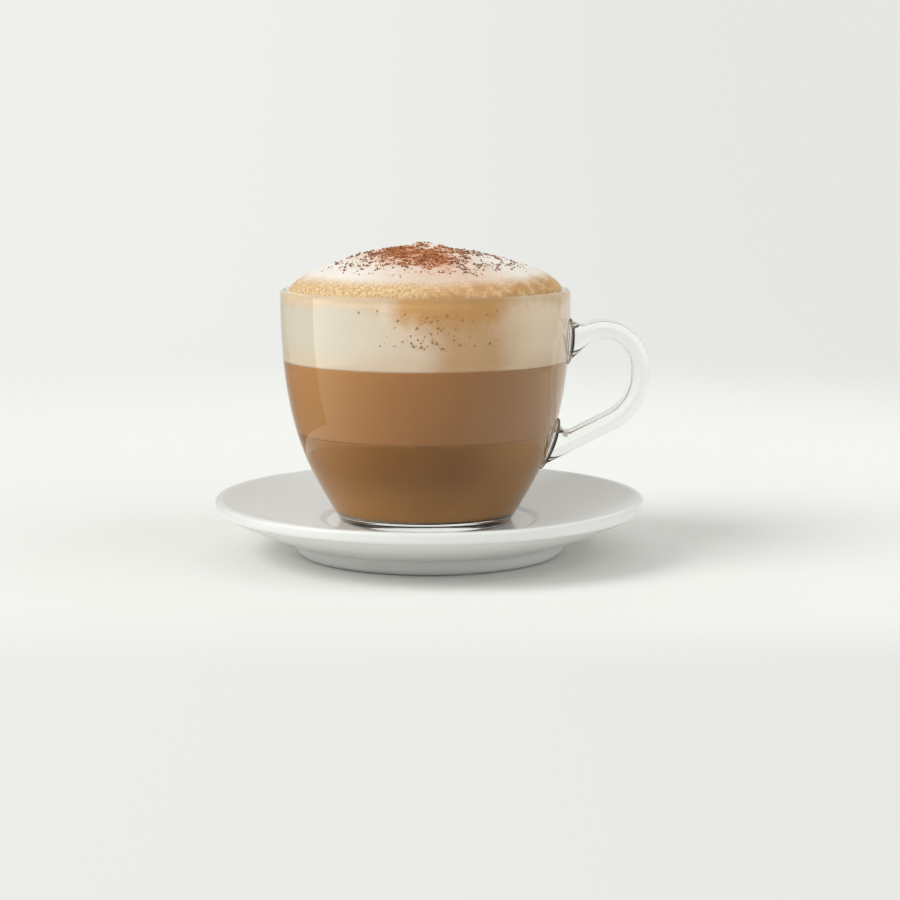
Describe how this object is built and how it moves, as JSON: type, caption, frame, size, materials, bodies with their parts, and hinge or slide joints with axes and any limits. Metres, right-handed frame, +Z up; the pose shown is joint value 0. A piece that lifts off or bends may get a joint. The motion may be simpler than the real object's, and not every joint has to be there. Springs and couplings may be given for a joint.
{
  "type": "cappuccino in a glass cup on a saucer",
  "caption": "Layered milk coffee with a tall foam dome dusted with cocoa, in a clear pressed-glass cup with an ear handle, standing on a round white saucer.",
  "frame": {"origin": "centre of the saucer's foot ring, on the surface that it stands on", "axes": "+Z up; +X out through the cup's handle; +Y to the back when the handle is on the right"},
  "size_m": [0.1476, 0.1462, 0.1063],
  "materials": {
    "saucer": "white glossy glaze",
    "glass": "clear, polished by pressing",
    "coffee": "opaque milky liquid, wet",
    "milk_coffee": "opaque milky liquid, wet",
    "foam": "soft milk foam with fine bubbles, tinted by crema at the rim",
    "cocoa": "dry powder"
  },
  "bodies": {
    "root": {"saucer": "saucer", "glass_cup": "glass", "coffee": "coffee", "milk_coffee": "milk_coffee", "milk_foam": "foam"}
  },
  "joints": []
}
